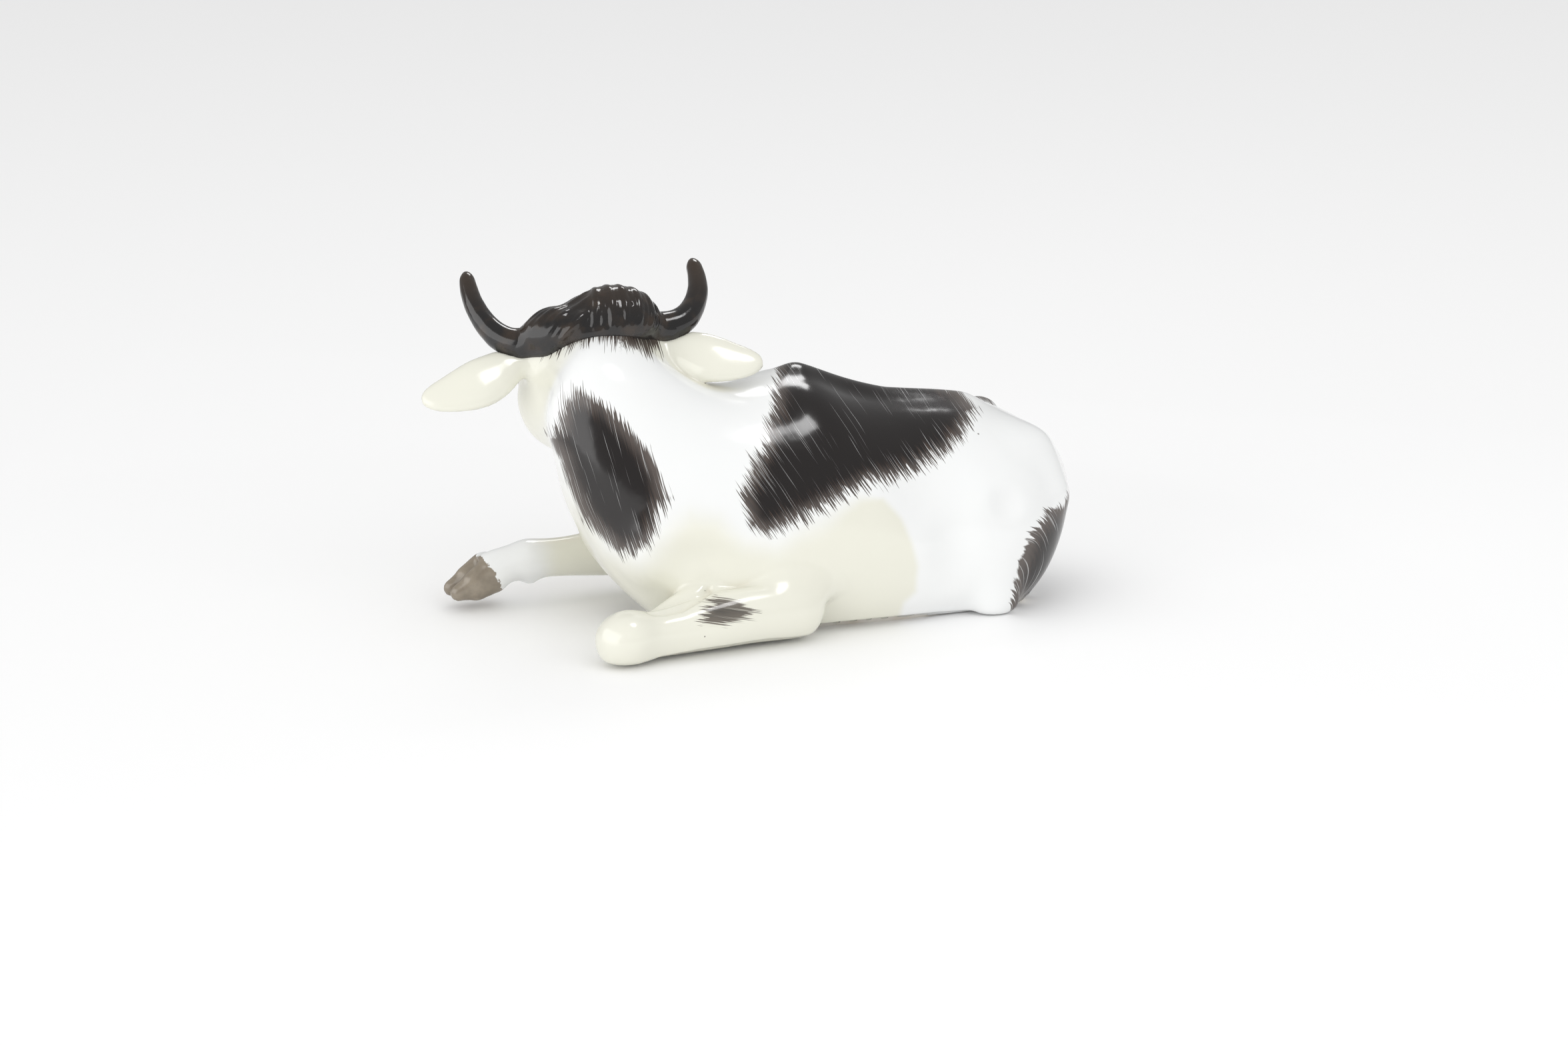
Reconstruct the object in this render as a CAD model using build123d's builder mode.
"""Recumbent cow figurine in glazed porcelain, cast hollow in pieces and luted together.

Millimetres. The cow faces -X with its left flank to -Y, and its head is turned back over its
right shoulder. The origin lies on the table, under the middle of the trunk, with +Z up.
"""

import os
from math import cos, pi, radians, sin

from build123d import *

os.makedirs("parts", exist_ok=True)

# Trunk and neck
body_length = 130.0
body_height = 56.0
body_width = 58.0
body_wall = 3.4
slab_thickness = 3.0
table_vent_diameter = 5.0

# Thigh and hock, modelled in relief on the trunk
thigh_length = 42.0
thigh_depth = 25.0
thigh_height = 37.0
hock_length = 12.0
hock_height = 6.5

# Head
head_length = 50.0
head_width = 33.0
head_depth = 25.0
head_wall = 4.0
head_vent_diameter = 4.0
head_turn = 104.0
head_pitch = 40.0
head_roll = 4.5

# Horns, ears and the tuft of hair between the horns
left_horn_spread = 25.0
left_horn_rise = 20.0
right_horn_spread = 27.0
right_horn_rise = 17.2
horn_thickness = 7.0
left_ear_spread = 40.4
right_ear_spread = 37.4
ear_droop = 9.5
ear_width = 11.4
ear_thickness = 5.0
tuft_width = 29.0
tuft_height = 13.0
tuft_depth = 14.0

# Legs
folded_reach = 56.0
stretched_reach = 66.0
foreleg_thickness = 16.0
cannon_thickness = 9.0
hind_reach = 41.0
hind_thickness = 15.0
foot_reach = 18.0

# Tail
tail_thickness = 4.8
switch_thickness = 6.0

# Outlines as shares of a half width and a half height, from the top down the right side
barrel_half_shares = [
    (0.0, 1.0),
    (0.40, 0.92),
    (0.76, 0.62),
    (0.97, 0.16),
    (1.0, -0.22),
    (0.90, -0.62),
    (0.55, -0.93),
    (0.0, -1.0),
]
skull_half_shares = [
    (0.0, 1.0),
    (0.55, 0.96),
    (0.92, 0.66),
    (1.0, 0.20),
    (0.90, -0.35),
    (0.58, -0.84),
    (0.0, -1.0),
]
oval_corners = 10

# Body stations from the rump to the top of the neck: the dorsal and the ventral point as shares of
# body_length, body_width and body_height, then the half width and the share of head_turn reached
body_station_shares = [
    ((0.503, 0.0, 0.482), (0.486, 0.0, 0.27), 0.30, 0.0),
    ((0.482, 0.0, 0.59), (0.437, 0.0, 0.14), 0.60, 0.0),
    ((0.431, 0.0, 0.69), (0.377, 0.0, -0.03), 0.87, 0.0),
    ((0.346, 0.0, 0.79), (0.315, 0.0, -0.10), 1.0, 0.0),
    ((0.208, 0.0, 0.845), (0.208, 0.0, -0.12), 1.0, 0.0),
    ((0.062, 0.0, 0.91), (0.054, 0.0, -0.12), 1.0, 0.0),
    ((-0.031, 0.0, 1.0), (-0.100, 0.0, -0.10), 0.965, 0.0),
    ((-0.115, 0.0, 0.965), (-0.238, 0.0, -0.04), 0.90, 0.0),
    ((-0.200, 0.02, 0.99), (-0.346, 0.0, 0.14), 0.78, 0.05),
    ((-0.254, 0.05, 1.07), (-0.423, 0.02, 0.39), 0.655, 0.15),
    ((-0.300, 0.09, 1.16), (-0.460, 0.06, 0.66), 0.56, 0.32),
    ((-0.338, 0.14, 1.18), (-0.460, 0.14, 0.84), 0.45, 0.55),
]
neck_joint_station = 8
hollow_stations = slice(2, 11)
table_vent_share = 0.12

# Relief rows: shares along the length, of the half depth and of the half height
relief_shares = [
    (0.0, 0.15, 0.15),
    (0.12, 0.62, 0.62),
    (0.45, 1.0, 1.0),
    (0.85, 0.70, 0.70),
    (1.0, 0.18, 0.18),
]
thigh_place_shares = (0.11, 0.34, 0.31)
hock_place_shares = (0.235, -0.46, 0.05)

# Head stations from the back of the skull to the muzzle: shares of head_length along the face, of half
# of head_width, and of head_depth for the top line and the jaw line
head_station_shares = [
    (-0.04, 0.44, -0.12, -0.52),
    (0.02, 0.70, -0.02, -0.70),
    (0.12, 0.86, 0.04, -0.86),
    (0.26, 0.97, 0.05, -0.90),
    (0.41, 1.00, 0.02, -0.82),
    (0.57, 0.82, -0.04, -0.72),
    (0.74, 0.60, -0.11, -0.67),
    (0.88, 0.58, -0.17, -0.73),
    (0.97, 0.50, -0.24, -0.69),
    (1.01, 0.31, -0.33, -0.60),
]
head_hollow_stations = slice(2, 7)
head_vent_station = 3
poll_shares = (-0.376, 0.14, 1.24)

# Horn rows: shares of the horn's spread out from the middle, of its rise, of head_length forward, and
# of half of horn_thickness
horn_shares = [
    (0.33, -0.02, 0.08, 1.0),
    (0.485, -0.03, 0.08, 1.0),
    (0.65, -0.065, 0.08, 0.97),
    (0.80, 0.016, 0.08, 0.90),
    (0.91, 0.216, 0.09, 0.80),
    (0.97, 0.45, 0.10, 0.68),
    (1.0, 0.70, 0.12, 0.56),
    (1.0, 0.90, 0.135, 0.44),
    (1.0, 0.98, 0.14, 0.22),
]

# Ear rows: shares of the ear's spread out, of ear_droop down, of head_length forward, of half of ear_width
# and of half of ear_thickness
ear_root_share = -0.124
ear_shares = [
    (0.22, 0.0, 0.14, 0.40, 0.9),
    (0.39, 0.05, 0.12, 0.62, 1.0),
    (0.57, 0.50, 0.10, 0.95, 0.95),
    (0.74, 0.84, 0.08, 0.98, 0.80),
    (0.89, 0.97, 0.08, 0.70, 0.62),
    (0.97, 1.0, 0.08, 0.42, 0.45),
    (1.0, 1.0, 0.08, 0.20, 0.25),
]

# Tuft rows: shares of half of tuft_width out, of tuft_height up, of head_length forward, and of half
# of tuft_depth and tuft_height
tuft_shares = [
    (-1.0, -0.04, 0.06, 0.35, 0.30),
    (-0.72, 0.08, 0.06, 0.75, 0.74),
    (-0.25, 0.27, 0.06, 1.0, 1.0),
    (0.25, 0.26, 0.06, 1.0, 0.97),
    (0.72, 0.08, 0.06, 0.75, 0.74),
    (1.0, -0.04, 0.06, 0.35, 0.30),
]

# Limb rows: shares of the limb's reach forward, of body_width out, and of the limb's thickness for the
# height of the middle, the half width and the half height
elbow_share = -0.054
forearm_shares = [
    (0.0, -0.40, 0.44, 0.26, 0.34),
    (0.07, -0.435, 0.46, 0.40, 0.46),
    (0.24, -0.452, 0.48, 0.43, 0.48),
    (0.46, -0.460, 0.44, 0.39, 0.44),
    (0.68, -0.466, 0.37, 0.34, 0.37),
    (0.85, -0.470, 0.36, 0.355, 0.36),
    (0.96, -0.472, 0.34, 0.31, 0.33),
    (1.0, -0.472, 0.33, 0.17, 0.19),
]
folded_cannon_shares = [
    (0.92, -0.440, 0.48, 0.30, 0.36),
    (0.85, -0.425, 0.48, 0.45, 0.48),
    (0.64, -0.360, 0.48, 0.42, 0.48),
    (0.44, -0.280, 0.48, 0.45, 0.48),
    (0.32, -0.230, 0.45, 0.30, 0.40),
]
stretched_share = -0.092
stretched_leg_shares = [
    (0.0, 0.28, 0.82, 0.30, 0.46),
    (0.20, 0.450, 0.74, 0.39, 0.46),
    (0.40, 0.480, 0.63, 0.32, 0.38),
    (0.57, 0.488, 0.62, 0.275, 0.30),
    (0.70, 0.493, 0.64, 0.31, 0.35),
    (0.80, 0.50, 0.55, 0.275, 0.30),
    (0.89, 0.505, 0.36, 0.30, 0.31),
    (0.965, 0.51, 0.21, 0.25, 0.16),
    (1.0, 0.514, 0.17, 0.10, 0.07),
]
fetlock_row = 4
hock_share = 0.43
hind_leg_shares = [
    (-0.04, 0.52, 0.36, 0.18, 0.20),
    (0.02, 0.55, 0.40, 0.32, 0.40),
    (0.14, 0.60, 0.35, 0.28, 0.35),
    (0.42, 0.655, 0.31, 0.25, 0.31),
    (0.62, 0.69, 0.31, 0.27, 0.31),
    (0.72, 0.705, 0.29, 0.25, 0.29),
    (0.84, 0.725, 0.28, 0.28, 0.28),
    (0.95, 0.74, 0.19, 0.21, 0.19),
    (1.0, 0.745, 0.14, 0.11, 0.11),
]
gaskin_shares = [
    (0.86, 0.44, 0.62, 0.24, 0.30),
    (0.70, 0.50, 0.66, 0.36, 0.50),
    (0.36, 0.53, 0.60, 0.38, 0.52),
    (0.08, 0.55, 0.44, 0.32, 0.42),
    (0.0, 0.54, 0.38, 0.20, 0.24),
]
foot_share = 0.10
foot_shares = [
    (0.0, 0.40, 0.50, 0.42, 0.48),
    (0.30, 0.50, 0.50, 0.40, 0.48),
    (0.55, 0.57, 0.46, 0.46, 0.46),
    (0.85, 0.635, 0.31, 0.36, 0.30),
    (1.0, 0.66, 0.22, 0.16, 0.18),
]

# Tail rows: shares of body_length, body_width and body_height, and of half of tail_thickness. The switch
# of hair lies on the table: its height and half thickness are shares of switch_thickness
tail_shares = [
    (0.446, 0.0, 0.50, 1.0),
    (0.489, 0.086, 0.505, 1.0),
    (0.484, 0.190, 0.470, 0.95),
    (0.469, 0.276, 0.393, 0.90),
    (0.456, 0.328, 0.286, 0.86),
    (0.443, 0.362, 0.179, 0.90),
]
switch_shares = [
    (0.434, 0.388, 0.92, 0.95),
    (0.425, 0.422, 0.53, 1.0),
    (0.416, 0.452, 0.43, 0.70),
    (0.411, 0.468, 0.36, 0.30),
]


def oval_shares():
    """An even oval, as shares of its half width and half height."""
    turns = [2 * pi * corner / oval_corners for corner in range(oval_corners)]
    return [(sin(turn), cos(turn)) for turn in turns]


def whole_outline(half_shares):
    """A full outline from the shares of its right half, begun at its side, clear of the halves' joint."""
    whole = half_shares + [(-side, height) for side, height in reversed(half_shares[1:-1])]
    start = half_shares.index(max(half_shares))
    return whole[start:] + whole[:start]


def outline(plane, shares, half_width, half_height):
    """A closed outline, drawn on a plane."""
    with BuildSketch(plane) as drawn:
        with BuildLine():
            Spline(*[(side * half_width, height * half_height) for side, height in shares], periodic=True)
        make_face()
    return drawn.sketch


def body_place(shares):
    """A point of the body from its shares."""
    return Vector(shares[0] * body_length, shares[1] * body_width, shares[2] * body_height)


def body_station(row, inset=0.0):
    """The plane, half width and half height of a body station, drawn in by an inset."""
    dorsal_shares, ventral_shares, width_share, turn_share = row
    dorsal, ventral = body_place(dorsal_shares), body_place(ventral_shares)
    up = (dorsal - ventral).normalized()
    stands_clear = ventral.Z > 0
    dorsal -= up * inset
    ventral += up * (inset if stands_clear else 0.0)
    turn = radians(head_turn * turn_share)
    right = Vector(sin(turn), cos(turn), 0)
    normal = right.cross(up)
    plane = Plane(origin=(dorsal + ventral) / 2, x_dir=up.cross(normal), z_dir=normal)
    return plane, width_share * body_width / 2 - inset, (dorsal - ventral).length / 2


def body_outlines(rows, inset=0.0):
    """The outlines of body stations, drawn in by an inset."""
    stations = [body_station(row, inset) for row in rows]
    return [outline(plane, whole_outline(barrel_half_shares), wide, high) for plane, wide, high in stations]


def path_outlines(rows, reference):
    """Ovals square to a path. Each row is a point, a half width and a half height along the reference."""
    points = [row[0] for row in rows]
    outlines = []
    for i, (point, half_width, half_height) in enumerate(rows):
        along = points[min(i + 1, len(points) - 1)] - points[max(i - 1, 0)]
        plane = Plane(origin=point, x_dir=reference.cross(along), z_dir=along)
        outlines.append(outline(plane, oval_shares(), half_width, half_height))
    return outlines


def limb_outlines(shares, root_share, reach, thickness):
    """The outlines of a limb that lies along the table."""
    rows = []
    for forward, out, middle, wide, high in shares:
        point = Vector(root_share * body_length - forward * reach, out * body_width, middle * thickness)
        rows.append((point, wide * thickness, high * thickness))
    return path_outlines(rows, Vector(0, 0, 1))


def relief_outlines(place_shares, length, depth, height):
    """The outlines of a rounded relief that starts at a place on the body and runs towards the rump."""
    start = body_place(place_shares)
    rows = []
    for along, deep, high in relief_shares:
        rows.append((start + Vector(along * length, 0, 0), deep * depth / 2, high * height / 2))
    return path_outlines(rows, Vector(0, 0, 1))


# The head's own frame: left, up and forward along the face
poll = body_place(poll_shares)
heading = Vector(-cos(radians(head_turn)), sin(radians(head_turn)), 0)
level_left = Vector(0, 0, 1).cross(heading)
head_forward = heading * cos(radians(head_pitch)) - Vector(0, 0, sin(radians(head_pitch)))
level_up = head_forward.cross(level_left)
head_left = level_left * cos(radians(head_roll)) - level_up * sin(radians(head_roll))
head_up = head_forward.cross(head_left)


def head_place(left, up, forward):
    """A point from its distances in the head's frame."""
    return poll + head_left * left + head_up * up + head_forward * forward


def head_outlines(rows, inset=0.0):
    """The outlines of head stations, drawn in by an inset."""
    outlines = []
    for along, wide, top, bottom in rows:
        high = (top - bottom) * head_depth / 2
        middle = head_place(0, (top + bottom) * head_depth / 2, along * head_length)
        plane = Plane(origin=middle, x_dir=head_left, z_dir=head_forward)
        outlines.append(
            outline(plane, whole_outline(skull_half_shares), wide * head_width / 2 - inset, high - inset)
        )
    return outlines


def horn_outlines(spread, rise):
    """The outlines of one horn: the spread is positive on the left and negative on the right."""
    rows = []
    for out, up, forward, thick in horn_shares:
        point = head_place(out * spread, up * rise, forward * head_length)
        rows.append((point, thick * horn_thickness / 2, thick * horn_thickness / 2))
    return path_outlines(rows, head_forward)


def ear_outlines(spread):
    """The outlines of one ear: the spread is positive on the left and negative on the right."""
    rows = []
    for out, droop, forward, wide, thick in ear_shares:
        height = ear_root_share * head_depth - droop * ear_droop
        point = head_place(out * spread, height, forward * head_length)
        rows.append((point, thick * ear_thickness / 2, wide * ear_width / 2))
    return path_outlines(rows, head_up)


# The outer form of trunk and neck with its reliefs, cut flat where it rests on the table
with BuildPart() as body_form:
    loft(sections=body_outlines(body_station_shares))
    loft(sections=relief_outlines(thigh_place_shares, thigh_length, thigh_depth, thigh_height))
    loft(sections=relief_outlines(hock_place_shares, hock_length, hock_height, hock_height))
    split(bisect_by=Plane.XY, keep=Keep.TOP)

# The hollow left by the casting, open below
with BuildPart() as body_hollow:
    loft(sections=body_outlines(body_station_shares[hollow_stations], inset=body_wall))

with BuildPart() as head_form:
    loft(sections=head_outlines(head_station_shares))

with BuildPart() as head_hollow:
    loft(sections=head_outlines(head_station_shares[head_hollow_stations], inset=head_wall))

# The air hole between the hollow of the head and the hollow of the neck
neck_hollow_end = body_station(body_station_shares[hollow_stations][-1])[0].origin
head_hollow_start = head_place(0, -head_depth / 2, head_station_shares[head_vent_station][0] * head_length)
with BuildPart() as head_vent:
    with BuildSketch(Plane(origin=neck_hollow_end, z_dir=head_hollow_start - neck_hollow_end)):
        Circle(head_vent_diameter / 2)
    extrude(amount=(head_hollow_start - neck_hollow_end).length)

with BuildPart() as body_shell:
    add(body_form.part)
    add(body_hollow.part, mode=Mode.SUBTRACT)

neck_joint = body_station(body_station_shares[neck_joint_station])[0]

with BuildPart() as trunk_left_half:
    add(body_shell.part)
    split(bisect_by=neck_joint, keep=Keep.TOP)
    split(bisect_by=Plane.XZ, keep=Keep.TOP)

with BuildPart() as trunk_right_half:
    add(body_shell.part)
    split(bisect_by=neck_joint, keep=Keep.TOP)
    split(bisect_by=Plane.XZ, keep=Keep.BOTTOM)

with BuildPart() as neck:
    add(body_shell.part)
    split(bisect_by=neck_joint, keep=Keep.BOTTOM)
    add(head_form.part, mode=Mode.SUBTRACT)
    add(head_vent.part, mode=Mode.SUBTRACT)

with BuildPart() as belly_slab:
    add(body_hollow.part)
    split(bisect_by=Plane.XY, keep=Keep.TOP)
    split(bisect_by=Plane.XY.offset(slab_thickness), keep=Keep.BOTTOM)
    with BuildSketch(Plane.XY):
        with Locations((table_vent_share * body_length, 0)):
            Circle(table_vent_diameter / 2)
    extrude(amount=slab_thickness, mode=Mode.SUBTRACT)

with BuildPart() as head:
    add(head_form.part)
    add(head_hollow.part, mode=Mode.SUBTRACT)
    add(head_vent.part, mode=Mode.SUBTRACT)

with BuildPart() as left_horn:
    loft(sections=horn_outlines(left_horn_spread, left_horn_rise))
    add([head_form.part, body_form.part], mode=Mode.SUBTRACT)

with BuildPart() as right_horn:
    loft(sections=horn_outlines(-right_horn_spread, right_horn_rise))
    add([head_form.part, body_form.part], mode=Mode.SUBTRACT)

with BuildPart() as left_ear:
    loft(sections=ear_outlines(left_ear_spread))
    add([head_form.part, body_form.part, left_horn.part], mode=Mode.SUBTRACT)

with BuildPart() as right_ear:
    loft(sections=ear_outlines(-right_ear_spread))
    add([head_form.part, body_form.part, right_horn.part], mode=Mode.SUBTRACT)

tuft_rows = []
for out, up, forward, deep, high in tuft_shares:
    middle = head_place(out * tuft_width / 2, up * tuft_height, forward * head_length)
    tuft_rows.append((middle, deep * tuft_depth / 2, high * tuft_height / 2))
with BuildPart() as poll_tuft:
    loft(sections=path_outlines(tuft_rows, head_up))
    add([head_form.part, body_form.part], mode=Mode.SUBTRACT)
    add([left_horn.part, right_horn.part, left_ear.part, right_ear.part], mode=Mode.SUBTRACT)

with BuildPart() as left_foreleg:
    loft(sections=limb_outlines(forearm_shares, elbow_share, folded_reach, foreleg_thickness))
    loft(sections=limb_outlines(folded_cannon_shares, elbow_share, folded_reach, cannon_thickness))
    split(bisect_by=Plane.XY, keep=Keep.TOP)
    add(body_form.part, mode=Mode.SUBTRACT)

stretched_outlines = limb_outlines(stretched_leg_shares, stretched_share, stretched_reach, foreleg_thickness)
with BuildPart() as right_foreleg:
    loft(sections=stretched_outlines[: fetlock_row + 1])
    loft(sections=stretched_outlines[fetlock_row:])
    split(bisect_by=Plane.XY, keep=Keep.TOP)
    add(body_form.part, mode=Mode.SUBTRACT)

with BuildPart() as right_hind_leg:
    loft(sections=limb_outlines(hind_leg_shares, hock_share, hind_reach, hind_thickness))
    loft(sections=limb_outlines(gaskin_shares, hock_share, hind_reach, hind_thickness))
    split(bisect_by=Plane.XY, keep=Keep.TOP)
    add(body_form.part, mode=Mode.SUBTRACT)

with BuildPart() as left_hind_foot:
    loft(sections=limb_outlines(foot_shares, foot_share, foot_reach, cannon_thickness))
    split(bisect_by=Plane.XY, keep=Keep.TOP)
    add(body_form.part, mode=Mode.SUBTRACT)

tail_rows = []
for along, out, up, thick in tail_shares:
    point = body_place((along, out, up))
    tail_rows.append((point, thick * tail_thickness / 2, thick * tail_thickness / 2))
for along, out, up, thick in switch_shares:
    point = Vector(along * body_length, out * body_width, up * switch_thickness)
    tail_rows.append((point, thick * switch_thickness / 2, thick * switch_thickness / 2))
with BuildPart() as tail:
    loft(sections=path_outlines(tail_rows, Vector(1, 0, 0)))
    split(bisect_by=Plane.XY, keep=Keep.TOP)
    add([body_form.part, right_hind_leg.part], mode=Mode.SUBTRACT)

pieces = {
    "trunk_left_half": trunk_left_half,
    "trunk_right_half": trunk_right_half,
    "belly_slab": belly_slab,
    "neck": neck,
    "head": head,
    "poll_tuft": poll_tuft,
    "left_horn": left_horn,
    "right_horn": right_horn,
    "left_ear": left_ear,
    "right_ear": right_ear,
    "left_foreleg": left_foreleg,
    "right_foreleg": right_foreleg,
    "right_hind_leg": right_hind_leg,
    "left_hind_foot": left_hind_foot,
    "tail": tail,
}
for name, piece in pieces.items():
    piece.part.label = name
    export_step(piece.part, f"parts/{name}.step")
